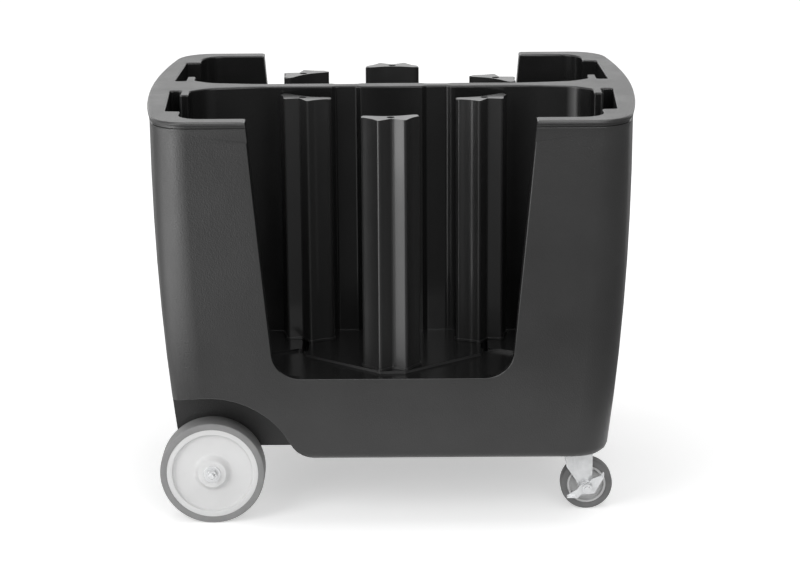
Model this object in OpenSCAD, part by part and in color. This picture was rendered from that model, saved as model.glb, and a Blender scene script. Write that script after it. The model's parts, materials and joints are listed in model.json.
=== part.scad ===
/* [Body] */
// Length over the bulging rim at the ends
body_len = 943; // [900:1:990]
// Width over the rim at the long sides
body_width = 721; // [705:1:750]
// Height of the rim above the floor
rim_h = 813; // [780:1:860]
// Height of the flat underside above the floor
base_z = 137; // [132:1:145]
// How far each end draws in from under the rim to the base
end_draw = 39; // [30:1:45]
// How far each long side draws in from under the rim to the base
side_draw = 62; // [50:1:66]
// Power of the curve that the walls draw in by
draw_power = 2.2; // [1.8:0.1:3]
// Radius of the bulging ends in plan
end_bulge_r = 1790; // [1500:10:2400]
// Radius of the upright corners
corner_r = 69; // [60:1:80]
// Rounding of the bottom edge
base_edge_r = 16; // [12:1:20]
// How far the rim lip stands out from the wall
lip_out = 3.5; // [2.5:0.5:5]
// Depth of the rim lip
lip_h = 40; // [30:1:50]
// Rounding of the top of the rim
rim_edge_r = 5; // [4:0.5:6]

/* [Compartments] */
// Height of the compartment floor above the ground
floor_z = 310; // [304:1:325]
// Half length of a compartment
well_half_len = 393; // [387:1:396]
// Distance from the middle line to the inner face of the long side
well_side = 324; // [318:1:327]
// How far the inside of the long wall leans in from the rim to the floor
well_lean = 12; // [8:1:16]
// Thickness of the middle wall at its centre
mid_wall_t = 37; // [33:1:40]
// Thickness of the middle wall at its thinnest
thin_wall_t = 30; // [26:1:33]
// Where along the middle wall it is thinnest
thin_wall_x = 265; // [250:1:280]
// Where the upright flute in the middle wall begins
flute_in_x = 60; // [50:1:70]
// Where the flute ends
flute_out_x = 117; // [105:1:125]
// Depth of the flute
flute_deep = 5; // [2:0.5:7]
// Where the middle wall begins to flare
flare_x = 358; // [350:1:362]
// Half thickness of the middle wall where it flares
flare_y = 29; // [25:1:33]
// Half thickness of the middle wall where the fin begins
fin_root_y = 56; // [50:1:62]
// Rounding of the far corners of a compartment
well_corner_r = 42; // [30:1:48]
// Rounding between floor and walls
floor_edge_r = 8; // [4:1:10]
// Rounding of the inner edges at the rim
inner_edge_r = 4; // [2:0.5:5]

/* [Finger grooves] */
// Thickness of the fin in front of each groove
fin_t = 17; // [14:0.5:19]
// Distance from the middle line to the fin's free edge
fin_tip_y = 96; // [85:1:110]
// Distance from the middle line to the near side of the groove
groove_near_y = 50; // [45:1:54]
// Distance from the middle line to the far side of the groove
groove_far_y = 250; // [235:1:254]
// Half length of the body taken at the groove's back, near the middle
groove_back_near = 430; // [425:1:434]
// Half length of the body taken at the groove's back, at the far side
groove_back_far = 422; // [418:1:426]

/* [Side openings] */
// Half width of the opening in the long side at the rim
side_gap_top = 267.5; // [250:0.5:280]
// Half width of the opening in the long side above its round corners
side_gap_low = 228.5; // [215:0.5:235]
// Radius of the lower corners of the opening
side_gap_r = 55; // [40:1:65]

/* [Raised floor] */
// Height of the step in the floor that the towers stand on
step_h = 5; // [3:0.5:7]
// Half width of the step's tip under the middle tower
step_tip_x = 24; // [20:1:30]
// Distance from the middle line to the step's tip
step_tip_y = 293; // [288:1:297]
// Half width at which the step jogs
step_jog_x = 175; // [165:1:185]
// Distance from the middle line to the outer end of the jog
step_jog_far = 179; // [170:1:187]
// Distance from the middle line to the inner end of the jog
step_jog_near = 139; // [130:1:147]
// Distance from the middle line at which the step meets the end wall
step_end_y = 246; // [236:1:256]

/* [Wheel arches] */
// Radius of the arch about the wheel's axle
arch_r = 168; // [150:1:172]
// Rounding where the arch runs out into the underside
arch_run_r = 70; // [50:1:80]
// Distance from the middle line to the inner wall of the arch
arch_wall_y = 205; // [203:1:207]

/* [Towers] */
// Height of the tower tops above the ground
tower_top_z = 801; // [770:1:806]
// Width of a tower over its two arms
tower_w = 110; // [100:1:114]
// Thickness of a tower's wall
tower_wall = 3.5; // [2.5:0.5:5]
// Distance from the bolt to the tips of the back
tower_back_y = 24.5; // [22:0.5:27]
// Depth of the round hollow in the back
tower_back_dip = 9; // [6:0.5:10]
// Distance from the bolt to the front edges
tower_front_y = 34; // [32:0.5:36]
// Distance from the middle to each front edge
tower_front_x = 25; // [23:0.5:28]
// Depth of the hollow in the front
tower_notch = 19; // [15:0.5:21]
// Rounding of the tower's edges
tower_edge_r = 4.5; // [3.5:0.5:5]
// Rounding of the two arms' ends
tower_arm_r = 9; // [7:0.5:9.5]
// How far the foot stands out
foot_out = 2.5; // [1:0.5:3.5]
// Height of the foot
foot_h = 4; // [2:0.5:10]
// Rounding of the top edge
tower_top_r = 4; // [2:0.5:5]
// Place of the front left tower, x, y and turn
front_left = [-172, -64, -27]; // [-230:1:230]
// Place of the front middle tower, x, y and turn
front_middle = [-1, -263, 5]; // [-280:1:230]
// Place of the front right tower, x, y and turn
front_right = [180, -74, 27]; // [-230:1:230]
// Place of the back left tower, x, y and turn
back_left = [-180, 187, 220]; // [-230:1:230]
// Place of the back middle tower, x, y and turn
back_middle = [1, 272, 180]; // [-230:1:280]
// Place of the back right tower, x, y and turn
back_right = [210, 131, 142]; // [-230:1:230]

/* [Tower fixing] */
// Diameter of the long bolt through a tower
bolt_d = 8; // [6:0.5:10]
// Diameter of the bolt's head
bolt_head_d = 13; // [11:0.5:15]
// Height of the bolt's head
bolt_head_h = 8; // [5:0.5:9]
// Depth of the pocket that holds the head
head_pocket = 12; // [10:0.5:14]
// Width of the slot in the base
slot_w = 13; // [12:0.5:16]
// Length and width of the clamping washer
washer_size = [30, 24]; // [22:1:32]
// Width of the channel under the base that hides the washer and the wing nut
channel_w = 52; // [48:1:56]
// Depth of the channel
channel_h = 30; // [26:1:34]
// Thickness of the clamping washer
washer_t = 3; // [2:0.5:4]
// Height of the wing nut's boss
wing_nut_h = 11; // [8:0.5:13]
// Width of the wing nut over its wings
wing_nut_w = 44; // [36:1:50]

/* [Big wheels] */
// Diameter of a big wheel
wheel_d = 203.2; // [190:0.1:210]
// Width of a big wheel
wheel_w = 50; // [44:1:54]
// Distance of the axle from the middle of the body
axle_x = 351; // [345:1:356]
// Distance from the middle line to the wheel's outer face
wheel_face_y = 269; // [264:0.5:272]
// Radius at which the tyre's flat side ends and its round shoulder begins
tyre_face_r = 99.5; // [96:0.5:100]
// Diameter of the wheel's light core
wheel_core_d = 177.5; // [165:0.5:180]
// Width of the core's rim lip
wheel_lip = 11; // [8:0.5:12]
// How deep the core's web lies behind the rim lip
wheel_web_in = 8.5; // [6:0.5:12]
// Diameter of the hub boss at its outer end
hub_d = 54; // [48:1:60]
// Diameter of the hub boss at the web
hub_root_d = 70; // [64:1:76]
// How far the hub stands out from the wheel at both sides
hub_out = 3; // [2:0.5:5]
// Diameter of the washer under the axle's nut
axle_washer_d = 34; // [28:1:36]
// Diameter of the axle
axle_d = 12; // [10:0.5:14]

/* [Casters] */
// Diameter of a caster wheel
caster_d = 101.6; // [95:0.1:104]
// Width of a caster wheel
caster_w = 32; // [28:1:34]
// Distance of the swivel from the middle of the body
caster_x = 357; // [345:1:362]
// Distance of the swivel from the middle line
caster_y = 186; // [175:1:195]
// How far the wheel trails behind the swivel
caster_trail = 22; // [18:1:28]
// Length of the mounting plate
plate_len = 95; // [92:1:100]
// Width of the mounting plate
plate_w = 67; // [64:1:72]
// Thickness of the caster's steel
caster_steel = 3; // [2.5:0.5:4]
// Diameter of the fork's crown
crown_d = 56; // [52:1:60]
// Diameter of the caster's axle bolt
caster_axle_d = 12; // [10:0.5:12]
// Diameter of the swivel's rivet
kingpin_d = 12; // [10:0.5:14]
// Length of the brake lever from the axle to the end of the pedal
brake_pedal = 40; // [36:1:44]
// Length of the brake lever from the axle to the end of the release tab
brake_tab = 33; // [30:1:36]

/* [Hidden] */
$fn = 64;

// Clearances
gap = 0.3;
run = 0.08;
hole_gap = 0.4;
eps = 0.01;

// Fineness of the curved outlines
end_steps = 6;
corner_steps = 6;
edge_steps = 3;
hole_fn = 16;

// The wall stands here before the lip bulges out
wall_half_len = body_len / 2 - lip_out;
wall_half_w = body_width / 2 - lip_out;
lip_z = rim_h - lip_h;

flute_slope = 9;

// A soft bead and a groove run round the body under the rim
rim_bead = [[-26, 0], [-18, 1], [-15, 1.5], [-13, 1]];
groove_low = 12;
groove_high = 8;
groove_in = 1;

// Travel of each tower away from the middle line, at least and at most
travel_front_left = [0, 90];
travel_front_middle = [-110, 0];
travel_front_right = [0, 70];
travel_back_left = [-100, 0];
travel_back_middle = [-110, 0];
travel_back_right = [-40, 50];

tower_z = floor_z + step_h + gap;
tower_hollow_top = tower_top_z - head_pocket - tower_wall;
arm_low_y = 6.5;
side_dip = 6;
side_hollow_r = 70;
back_hollow_r = 90;
notch_r = 12;

washer_z = base_z + channel_h - gap - washer_t;
wing_nut_z = washer_z - gap - wing_nut_h;
bolt_end_z = wing_nut_z - bolt_d;
wing_t = 3;
channel_end = 1.5;
channel_r = 5;
key_af = 6;
key_deep = 4;

axle_z = wheel_d / 2;
wheel_mid_y = wheel_face_y - wheel_w / 2;
core_half = wheel_w / 2 - 1;
hub_half = wheel_w / 2 + hub_out;
bush_wall = 4;
web_t = 6;
web_fillet = 3;
hub_edge_r = 2;
wheel_ribs = 8;
rib_t = 4;
rib_in = 4;
washer_out = 2;
axle_nut_af = 19;
axle_nut_h = 10;
axle_end_y = wheel_mid_y + hub_half + washer_out + axle_nut_h + 4;
end_bevel = 1.5;
spacer_wall = 4;
bracket_t = 4;
bracket_w = 60;
bracket_len = 84;
ear_wall = 8;
bracket_out_y = arch_wall_y - 4;
bracket_bolt_x = 32;
bracket_bolt_y = 14;
fixing_d = 8;
fixing_deep = 20;
fixing_af = 13;
fixing_head = 5;

caster_r = caster_d / 2;
rivet_out = 4;
rivet_h = 2;
ball_d = 7.4;
ball_ring_r = 19;
ball_count = 12;
crown_top = base_z - caster_steel - ball_d - 2 * gap;
leg_in = caster_w / 2 + 3.5;
plate_bolt_x = 38;
plate_bolt_y = 23.5;
plate_corner_r = 8;
caster_core_r = 38;
caster_lip = 5;
caster_web = 10;
caster_hub_r = 13;
caster_edge_r = 5;
leg_eye_r = 12;
leg_back = crown_d / 2 - 5;
leg_front = caster_trail + 11;
leg_taper = 5;
leg_bend = 39;
leg_waist = [-21, 11];
leg_rib = [-26, -18.5];
rib_out = 1.5;
skirt_h = ball_d * 0.7;
skirt_t = 2;
brake_hub_r = 12;
brake_hub_h = 10;
brake_t = 2.5;
pedal_out = 7;
pedal_len = 18;
pedal_drop = 19;
tab_out = 5;
tab_h = 9;
tab_x = brake_tab - brake_t - 0.5;
tab_low = 21;
caster_nut_af = 19;
caster_nut_h = 10;
caster_head_h = 7;
bolt_spare = 3;
brake_face = leg_in + caster_steel + gap;
nut_face = brake_face + brake_hub_h + brake_t + gap;

// Outlines: a corner is [x, y, radius, segments], and corners run counter-clockwise
function xy(p) = [p[0], p[1]];
function unit(v) = v / norm(v);
function left_of(v) = [-v[1], v[0]];
function cross2(a, b) = a[0] * b[1] - a[1] * b[0];
function turned(v, t) = [v[0] * cos(t) - v[1] * sin(t), v[0] * sin(t) + v[1] * cos(t)];
function mirrored_x(list) = [for (i = [len(list) - 1 : -1 : 0]) concat([-list[i][0]], tail(list[i]))];
function tail(p) = [for (i = [1 : len(p) - 1]) p[i]];

// A corner moved out by g along both of its edges
function grown(a, b, c, g) =
    let (nu = -left_of(unit(b - a)), nv = -left_of(unit(c - b)))
    b + (nu + nv) * g / (1 + nu * nv);

// The round stretch that replaces a corner
function corner_arc(a, b, c, r, n) =
    let (u = unit(b - a), v = unit(c - b), t = atan2(cross2(u, v), u * v), s = sign(t),
         m = b - u * r * tan(abs(t) / 2) + left_of(u) * r * s)
    [for (k = [0 : n]) m + turned(-left_of(u) * s * r, t * k / n)];

// The whole outline, moved out by g
function outline(corners, g = 0) =
    let (n = len(corners),
         q = [for (i = [0 : n - 1])
                 grown(xy(corners[(i + n - 1) % n]), xy(corners[i]), xy(corners[(i + 1) % n]), g)])
    [for (i = [0 : n - 1])
        let (a = q[(i + n - 1) % n], b = q[i], c = q[(i + 1) % n],
             s = sign(cross2(b - a, c - b)), r = max(corners[i][2] + g * s, 0.5))
        each corner_arc(a, b, c, r, corners[i][3])];

// A solid skinned over rings of equal length at rising heights
module loft(rings, heights) {
    n = len(rings[0]);
    m = len(rings);
    points = [for (k = [0 : m - 1]) for (p = rings[k]) [p[0], p[1], heights[k]]];
    sides = [for (k = [0 : m - 2]) for (i = [0 : n - 1])
        let (j = (i + 1) % n)
        each [[k * n + i, (k + 1) * n + i, (k + 1) * n + j], [k * n + i, (k + 1) * n + j, k * n + j]]];
    bottom = [for (i = [0 : n - 1]) i];
    top = [for (i = [n - 1 : -1 : 0]) (m - 1) * n + i];
    polyhedron(points, concat([bottom, top], sides), convexity = 10);
}

// The cylinder along +Y that starts at y
module along_y(x, y, z) {
    translate([x, y, z]) rotate([-90, 0, 0]) children();
}

module hex(af, h) {
    cylinder(d = af / cos(30), h = h, $fn = 6);
}

// A nut whose far face has its corners turned down
module nut(af, h, thread_d) {
    face_r = af * 0.53;
    difference() {
        intersection() {
            hex(af, h);
            cylinder(r1 = face_r + h, r2 = face_r, h = h);
        }
        translate([0, 0, -1]) cylinder(d = thread_d + 2 * run, h = h + 2);
    }
}

// Body: one quarter of its plan, from the middle of the end to the flat long side
function quarter_plan(a, b, r) =
    let (cy = b - r, cx = a - end_bulge_r + sqrt(pow(end_bulge_r - r, 2) - cy * cy),
         f = asin(cy / (end_bulge_r - r)))
    concat([for (k = [0 : end_steps])
                [a - end_bulge_r + end_bulge_r * cos(f * k / end_steps),
                 end_bulge_r * sin(f * k / end_steps)]],
           [for (k = [1 : corner_steps])
                let (t = f + (90 - f) * k / corner_steps) [cx + r * cos(t), cy + r * sin(t)]]);

function body_plan(a, b, r) =
    let (q = quarter_plan(a, b, r), n = len(q))
    concat(q,
           [for (i = [n - 1 : -1 : 0]) [-q[i][0], q[i][1]]],
           [for (i = [1 : n - 1]) [-q[i][0], -q[i][1]]],
           [for (i = [n - 1 : -1 : 1]) [q[i][0], -q[i][1]]]);

// How far the wall has drawn in at height z, from 0 at the lip to 1 at the base
function draw_at(z) = pow(max(0, (lip_z - z) / (lip_z - base_z)), draw_power);

// A level is [height, how far the wall stands out there]
function body_levels() = concat(
    [for (k = [0 : edge_steps])
        let (t = 90 * k / edge_steps)
        [base_z + base_edge_r * (1 - cos(t)), -base_edge_r * (1 - sin(t))]],
    [for (k = [1 : 7]) [base_z + base_edge_r + (lip_z - base_z - base_edge_r) * k / 7, 0]],
    [for (p = rim_bead) [rim_h + p[0], p[1]]],
    [[rim_h - groove_low, -groove_in], [rim_h - groove_high, -groove_in],
     [rim_h - groove_high + 1, lip_out - groove_in]],
    [for (k = [0 : edge_steps])
        let (t = 90 * k / edge_steps)
        [rim_h - rim_edge_r * (1 - sin(t)), lip_out - rim_edge_r * (1 - cos(t))]]);

module body_skin() {
    levels = body_levels();
    loft([for (l = levels)
             let (d = draw_at(l[0]))
             body_plan(wall_half_len - end_draw * d + l[1], wall_half_w - side_draw * d + l[1],
                       corner_r + l[1])],
         [for (l = levels) l[0]]);
}

// The middle wall's face at x, before the flutes
function mid_face(x) = mid_wall_t / 2 + (thin_wall_t - mid_wall_t) / 2 * x / thin_wall_x;

// Half of a compartment's plan, from the middle wall round to the long side
function well_half(side) = [
    [flute_in_x, mid_face(flute_in_x), 4, 3],
    [flute_in_x + flute_slope, mid_face(flute_in_x) - flute_deep, 12, 3],
    [flute_out_x - flute_slope, mid_face(flute_out_x) - flute_deep, 12, 3],
    [flute_out_x, mid_face(flute_out_x), 4, 3],
    [thin_wall_x, thin_wall_t / 2, 300, 3],
    [flare_x, flare_y, 60, 3],
    [well_half_len - 2, fin_root_y, 14, 3],
    [well_half_len - 2, fin_tip_y, 4, 2],
    [well_half_len - 2 + fin_t, fin_tip_y, 4, 2],
    [well_half_len - 2 + fin_t, groove_near_y, 5, 2],
    [groove_back_near, groove_near_y, 5, 2],
    [groove_back_far, groove_far_y, 5, 2],
    [well_half_len, groove_far_y + 3, 4, 2],
    [well_half_len + 2, side, well_corner_r, 6]
];

// The whole plan at height z, where the long side has leaned in
function well_plan(z) =
    let (half = well_half(well_side - well_lean * (rim_h - z) / (rim_h - floor_z)))
    concat([[0, mid_wall_t / 2, 600, 2]], half, mirrored_x(half));

module well() {
    low = [for (k = [0 : edge_steps])
        let (t = 90 * k / edge_steps)
        [floor_z + floor_edge_r * (1 - cos(t)), -floor_edge_r * (1 - sin(t))]];
    high = [for (k = [0 : edge_steps])
        let (t = 90 * k / edge_steps)
        [rim_h - inner_edge_r * (1 - sin(t)), inner_edge_r * (1 - cos(t))]];
    levels = concat(low, high, [[rim_h + 2, inner_edge_r]]);
    loft([for (l = levels) outline(well_plan(l[0]), l[1])], [for (l = levels) l[0]]);
}

module side_gap() {
    start = well_side - well_lean - floor_edge_r - 2;
    along_y(0, start, 0) linear_extrude(wall_half_w) mirror([0, 1]) hull() {
        for (s = [-1, 1])
            translate([s * (side_gap_low - side_gap_r), floor_z + side_gap_r])
                circle(side_gap_r, $fn = 48);
        translate([-side_gap_top, rim_h]) square([2 * side_gap_top, 2]);
    }
}

// The step's outline, with its zigzag edge towards the long side
module step_block() {
    half = [[well_half_len + 8, step_end_y, 1, 1], [step_jog_x + 4, step_jog_near, 6, 3],
            [step_jog_x - 3, step_jog_far, 6, 3], [step_tip_x, step_tip_y, 5, 2]];
    corners = concat([[-well_half_len - 8, 0, 1, 1], [well_half_len + 8, 0, 1, 1]],
                     half, mirrored_x(half));
    translate([0, 0, floor_z - 10]) linear_extrude(10 + step_h) polygon(outline(corners));
}

// The arch runs out into the underside on a round edge
function arch_profile() =
    let (dz = base_z + arch_run_r - axle_z, dx = sqrt(pow(arch_r + arch_run_r, 2) - dz * dz),
         t = atan2(dz, dx), n = 20)
    concat([for (k = [0 : n])
                let (a = t + (180 - t) * k / n) [arch_r * cos(a), axle_z + arch_r * sin(a)]],
           [[-arch_r, -10], [dx, -10], [dx, base_z - eps]],
           [for (k = [0 : 6])
                let (a = -90 - (90 - t) * k / 6)
                [dx + arch_run_r * cos(a), base_z + arch_run_r + arch_run_r * sin(a)]]);

module arch() {
    along_y(-axle_x, arch_wall_y, 0)
        linear_extrude(body_width / 2) mirror([0, 1]) polygon(arch_profile());
}

// The channel round a slot, as far as the washer reaches at both ends of its travel
function channel_corners(s, travel) =
    let (x = channel_w / 2, out = washer_size[1] / 2 + channel_end,
         low = min(s * travel[0], s * travel[1]) - out, high = max(s * travel[0], s * travel[1]) + out)
    [[-x, low, channel_r, 3], [x, low, channel_r, 3], [x, high, channel_r, 3], [-x, high, channel_r, 3]];

// A tower's bolt slides in the slot, and its washer and nut in the channel
module slot(place, travel) {
    s = sign(place[1]);
    hull()
        for (d = travel)
            translate([place[0], place[1] + s * d, base_z - 5])
                cylinder(d = slot_w, h = floor_z - base_z + 20, $fn = 24);
    translate([place[0], place[1], base_z - 5]) linear_extrude(channel_h + 5)
        polygon(outline(channel_corners(s, travel)));
}

module fixing_holes() {
    for (s = [-1, 1]) {
        for (p = plate_bolts())
            translate([caster_x + p[0], s * caster_y + p[1], base_z - 1])
                cylinder(d = fixing_d + 2 * hole_gap, h = fixing_deep + 2, $fn = hole_fn);
        for (p = bracket_bolts(s))
            translate([p[0], p[1], base_z - 1])
                cylinder(d = fixing_d + 2 * hole_gap, h = fixing_deep + 2, $fn = hole_fn);
    }
}

module body_moulding() {
    color("#2c2c2e") difference() {
        union() {
            difference() {
                body_skin();
                well();
                mirror([0, 1, 0]) well();
            }
            intersection() {
                body_skin();
                union() {
                    step_block();
                    mirror([0, 1, 0]) step_block();
                }
            }
        }
        side_gap();
        mirror([0, 1, 0]) side_gap();
        arch();
        mirror([0, 1, 0]) arch();
        slot(front_left, travel_front_left);
        slot(front_middle, travel_front_middle);
        slot(front_right, travel_front_right);
        slot(back_left, travel_back_left);
        slot(back_middle, travel_back_middle);
        slot(back_right, travel_back_right);
        fixing_holes();
    }
}

// Towers, about their own bolt: the left half of the plan, from the arm round to the front
function tower_half() = [
    [-tower_w / 2, tower_back_y, tower_arm_r, 6],
    [-tower_w / 2, arm_low_y, tower_arm_r, 3],
    [-tower_w / 4 - tower_front_x / 2 + side_dip * 0.8,
     (arm_low_y - tower_front_y) / 2 + side_dip * 0.6, side_hollow_r, 4],
    [-tower_front_x, -tower_front_y, tower_edge_r, 4],
    [-tower_front_x / 2, tower_notch - tower_front_y, notch_r, 5]
];

function tower_plan() = concat(
    [[0, tower_back_y - 2 * tower_back_dip, back_hollow_r, 10]],
    tower_half(), mirrored_x(tower_half()));

// A long block across y, from x = low to x = high, with its two top edges rounded
module round_topped(low, high, h) {
    rotate([90, 0, 0]) translate([0, 0, -tower_w]) linear_extrude(2 * tower_w)
        polygon(outline([[low, -1, 1, 1], [high, -1, 1, 1],
                         [high, h, tower_top_r, 5], [low, h, tower_top_r, 5]]));
}

module at_tower(place) {
    translate([place[0], place[1], 0]) rotate(place[2]) children();
}

module tower(place) {
    plan = tower_plan();
    h = tower_top_z - tower_z;
    color("#1d1d1f") at_tower(place) difference() {
        translate([0, 0, tower_z]) {
            linear_extrude(foot_h) polygon(outline(plan, foot_out));
            intersection() {
                linear_extrude(h) polygon(outline(plan));
                round_topped(-tower_w / 2, tower_w / 2, h);
                rotate(90) round_topped(-tower_front_y, tower_back_y, h);
            }
        }
        translate([0, 0, tower_z + tower_wall])
            linear_extrude(tower_hollow_top - tower_z - tower_wall)
                polygon(outline(plan, -tower_wall));
        translate([0, 0, tower_top_z - head_pocket])
            cylinder(d = bolt_head_d + 2, h = head_pocket + 1);
        translate([0, 0, tower_z - 1])
            cylinder(d = bolt_d + 2 * run, h = tower_top_z - tower_z);
    }
}

module tie_bolt(place) {
    head_z = tower_top_z - head_pocket + gap;
    color("#b9bcc0") at_tower(place) difference() {
        union() {
            translate([0, 0, bolt_end_z]) cylinder(d = bolt_d, h = head_z - bolt_end_z + 1);
            translate([0, 0, head_z]) cylinder(d = bolt_head_d, h = bolt_head_h - 1);
            translate([0, 0, head_z + bolt_head_h - 1])
                cylinder(d1 = bolt_head_d, d2 = bolt_head_d - 2, h = 1);
        }
        translate([0, 0, head_z + bolt_head_h - key_deep]) hex(key_af, key_deep + 1);
    }
}

module clamp_washer(place) {
    color("#b9bcc0") translate([place[0], place[1], washer_z]) difference() {
        translate([-washer_size[0] / 2, -washer_size[1] / 2, 0])
            cube([washer_size[0], washer_size[1], washer_t]);
        translate([0, 0, -1]) cylinder(d = bolt_d + 2 * run, h = washer_t + 2);
    }
}

// One wing's outline, w out from the boss and three quarters of h down, counter-clockwise
function wing_corners(w, h) = [
    [0, 1, 0.5, 1], [0, -h * 0.3, 0.5, 1], [w * 0.45, -h * 0.3, 3, 3], [w * 0.8, -h * 0.75, 2, 3],
    [w, -h * 0.45, 2, 3], [w * 0.5, 1, 2, 2]
];

// The wings hang down, so that a hand reaches them from below
module wing_nut(place) {
    boss_r = bolt_d * 0.95;
    root = boss_r - 2;
    color("#b9bcc0") translate([place[0], place[1], wing_nut_z]) difference() {
        union() {
            cylinder(r1 = boss_r - 1.5, r2 = boss_r, h = wing_nut_h);
            for (t = [0, 180])
                rotate(t) translate([root, wing_t / 2, wing_nut_h / 2]) rotate([90, 0, 0])
                    linear_extrude(wing_t)
                        polygon(outline(wing_corners(wing_nut_w / 2 - root, wing_nut_h)));
        }
        translate([0, 0, -1]) cylinder(d = bolt_d + 2 * run, h = wing_nut_h + 2);
    }
}

// Big wheels: pieces lie about the axle with z = 0 at mid width, +z outward
module at_wheel(side) {
    mirror([0, side < 0 ? 1 : 0, 0]) along_y(-axle_x, wheel_mid_y, axle_z) children();
}

module wheel_tyre(side) {
    r = wheel_d / 2;
    h = wheel_w / 2;
    core = wheel_core_d / 2;
    shoulder = r - tyre_face_r;
    color("#8a8a8c") at_wheel(side) rotate_extrude($fn = 128)
        polygon(outline([[core, -h, 0.5, 1], [r, -h, shoulder, 5], [r, h, shoulder, 5], [core, h, 0.5, 1]]));
}

module wheel_core(side) {
    r = wheel_core_d / 2;
    rim = r - wheel_lip;
    web = core_half - wheel_web_in;
    bore = axle_d / 2 + bush_wall;
    rib_r = hub_d / 2 - 2;
    color("#d8d8d8") at_wheel(side) {
        rotate_extrude($fn = 128) polygon(outline([
            [bore, -hub_half, 0.5, 1], [hub_d / 2, -hub_half, web_fillet, 2],
            [hub_d / 2, web - web_t, web_fillet, 2], [rim, web - web_t, 2 * web_fillet, 3],
            [rim, -core_half, 1, 1], [r, -core_half, 0.5, 1], [r, core_half, 0.5, 1],
            [rim, core_half, 1, 2], [rim, web, web_fillet, 3], [hub_root_d / 2, web, web_fillet, 3],
            [hub_d / 2, hub_half, hub_edge_r, 3], [bore, hub_half, 0.5, 1]]));
        for (k = [0 : wheel_ribs - 1])
            rotate(360 * k / wheel_ribs) translate([rib_r, -rib_t / 2, rib_in - core_half])
                cube([rim + 1 - rib_r, rib_t, core_half - rib_in + web - 1]);
    }
}

module wheel_bush(side) {
    color("#efe9d8") at_wheel(side) difference() {
        translate([0, 0, -hub_half]) cylinder(r = axle_d / 2 + bush_wall, h = 2 * hub_half);
        translate([0, 0, -hub_half - 1]) cylinder(d = axle_d + 2 * run, h = 2 * hub_half + 2);
    }
}

module axle() {
    color("#b9bcc0") along_y(-axle_x, -axle_end_y, axle_z) {
        translate([0, 0, end_bevel]) cylinder(d = axle_d, h = 2 * (axle_end_y - end_bevel));
        cylinder(d1 = axle_d - 2 * end_bevel, d2 = axle_d, h = end_bevel);
        translate([0, 0, 2 * axle_end_y - end_bevel])
            cylinder(d1 = axle_d, d2 = axle_d - 2 * end_bevel, h = end_bevel);
    }
}

module axle_spacers() {
    start = bracket_out_y + gap;
    len = wheel_mid_y - hub_half - gap - start;
    color("#b9bcc0") for (s = [0, 1]) mirror([0, s, 0])
        along_y(-axle_x, start, axle_z) difference() {
            cylinder(d = axle_d + 2 * spacer_wall, h = len);
            translate([0, 0, -1]) cylinder(d = axle_d + 2 * run, h = len + 2);
        }
}

module axle_washers() {
    color("#c9ccd0") for (s = [0, 1]) mirror([0, s, 0])
        along_y(-axle_x, wheel_mid_y + hub_half + gap, axle_z) difference() {
            cylinder(d = axle_washer_d, h = washer_out - gap);
            translate([0, 0, -1]) cylinder(d = axle_d + 2 * run, h = washer_out + 2);
        }
}

module axle_nuts() {
    color("#c9ccd0") for (s = [0, 1]) mirror([0, s, 0])
        along_y(-axle_x, wheel_mid_y + hub_half + washer_out, axle_z)
            nut(axle_nut_af, axle_nut_h, axle_d);
}

function bracket_bolts(s) = [for (i = [-1, 1]) for (j = [-1, 1])
    [-axle_x + i * bracket_bolt_x, s * (bracket_out_y - bracket_w / 2 + j * bracket_bolt_y)]];

module axle_bracket(s) {
    ear_r = axle_d / 2 + ear_wall;
    ear_foot = ear_r + ear_wall;
    y0 = bracket_out_y - bracket_w;
    color("#b9bcc0") mirror([0, s < 0 ? 1 : 0, 0]) difference() {
        union() {
            translate([-axle_x - bracket_len / 2, y0, base_z - bracket_t])
                cube([bracket_len, bracket_w, bracket_t]);
            for (y = [y0, bracket_out_y - bracket_t])
                along_y(-axle_x, y, 0) linear_extrude(bracket_t) mirror([0, 1]) {
                    translate([0, axle_z]) circle(ear_r);
                    polygon([[-ear_r, axle_z], [ear_r, axle_z], [ear_foot, base_z - 1],
                             [-ear_foot, base_z - 1]]);
                }
        }
        along_y(-axle_x, y0 - 1, axle_z) cylinder(d = axle_d + 2 * run, h = bracket_w + 2);
        for (p = bracket_bolts(1))
            translate([p[0], p[1], base_z - bracket_t - 1])
                cylinder(d = fixing_d + 2 * run, h = bracket_t + 2);
    }
}

// A hex-headed bolt up into the base, with its head under z
module fixing_bolt(z, plate) {
    translate([0, 0, z]) cylinder(d = fixing_d, h = plate + fixing_deep - 2);
    translate([0, 0, z - fixing_head]) hex(fixing_af, fixing_head);
}

module axle_bracket_bolts() {
    color("#c9ccd0") for (s = [-1, 1]) for (p = bracket_bolts(s))
        translate([p[0], p[1], 0]) fixing_bolt(base_z - bracket_t, bracket_t);
}

// Casters: pieces lie about the swivel, with the wheel trailing towards +x
module at_caster(side) {
    translate([caster_x, side * caster_y, 0]) children();
}

function plate_bolts() = [for (i = [-1, 1]) for (j = [-1, 1]) [i * plate_bolt_x, j * plate_bolt_y]];

module caster_plate(side) {
    color("#c4c7cb") at_caster(side) difference() {
        translate([0, 0, base_z - caster_steel]) linear_extrude(caster_steel)
            polygon(outline([for (p = [[-1, -1], [1, -1], [1, 1], [-1, 1]])
                                 [p[0] * plate_len / 2, p[1] * plate_w / 2, plate_corner_r, 4]]));
        translate([0, 0, base_z - caster_steel - 1]) {
            cylinder(d = kingpin_d + 2 * run, h = caster_steel + 2);
            for (p = plate_bolts())
                translate([p[0], p[1], 0]) cylinder(d = fixing_d + 2 * run, h = caster_steel + 2);
        }
    }
}

module caster_bolts(side) {
    color("#c9ccd0") at_caster(side) for (p = plate_bolts())
        translate([p[0], p[1], 0]) fixing_bolt(base_z - caster_steel, caster_steel);
}

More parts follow.
